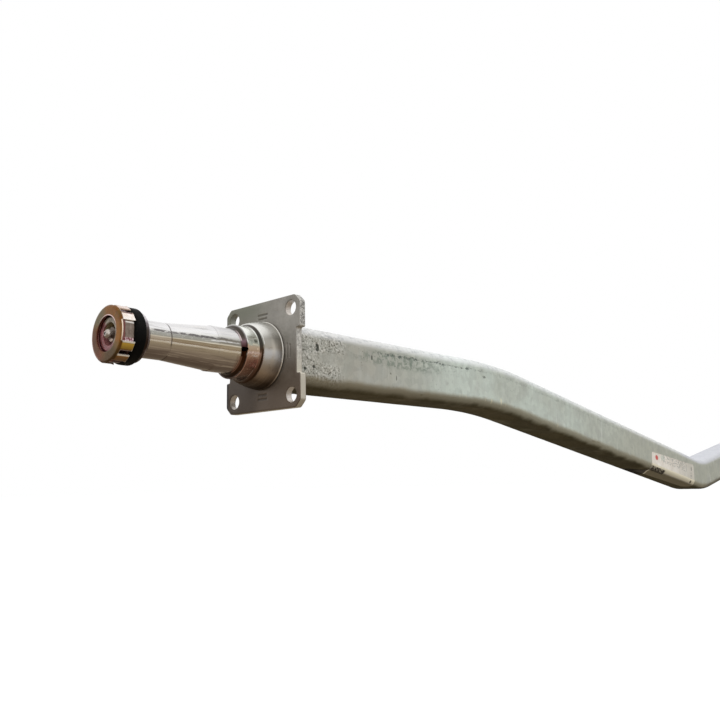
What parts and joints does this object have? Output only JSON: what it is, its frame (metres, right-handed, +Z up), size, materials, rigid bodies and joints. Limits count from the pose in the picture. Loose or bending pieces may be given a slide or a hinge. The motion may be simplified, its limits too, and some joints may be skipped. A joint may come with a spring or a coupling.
{
  "type": "boat trailer axle",
  "caption": "Dropped-centre trailer axle: square galvanised tube bent in a shallow V, with brake flanges and tapered-roller spindles, each with its washer, ring, nut, cap and grease fitting.",
  "frame": {"origin": "middle of the axle's length, on the axis that both spindles share", "axes": "+X along the axle from the labelled half to the other, +Y from the pictured side away, +Z up with the V hanging down"},
  "size_m": [2.2552, 0.0888, 0.1697],
  "materials": {
    "galvanised_tube": "hot-dip galvanised steel, matt grey with dross, drips and brown staining",
    "galvanised_plate": "galvanised steel plate, dark warm grey with lighter edges",
    "weld_zinc": "weld bead under zinc, rippled",
    "machined_steel": "turned and ground steel under a thin oil film",
    "washer_steel": "zinc-plated steel washer, satin",
    "black_rubber": "matt black rubber",
    "nut_steel": "plated steel nut, satin grey",
    "yellow_zinc": "yellow passivated zinc with rainbow tints",
    "fitting_steel": "bright zinc-plated steel",
    "ball_steel": "polished hardened steel ball",
    "spring_steel": "spring steel wire",
    "label_film": "off-white adhesive label film, blank, with scuffs"
  },
  "bodies": {
    "root": {"axle_beam": "galvanised_tube", "centre_label": "label_film", "left_spindle": "machined_steel", "left_brake_flange": "galvanised_plate", "left_flange_weld": "weld_zinc", "left_spindle_washer": "washer_steel", "left_rubber_ring": "black_rubber", "left_spindle_nut": "nut_steel", "left_nut_retainer": "yellow_zinc", "left_grease_fitting": "fitting_steel", "left_check_ball": "ball_steel", "left_check_spring": "spring_steel", "right_spindle": "machined_steel", "right_brake_flange": "galvanised_plate", "right_flange_weld": "weld_zinc", "right_spindle_washer": "washer_steel", "right_rubber_ring": "black_rubber", "right_spindle_nut": "nut_steel", "right_nut_retainer": "yellow_zinc", "right_grease_fitting": "fitting_steel", "right_check_ball": "ball_steel", "right_check_spring": "spring_steel"}
  },
  "joints": []
}
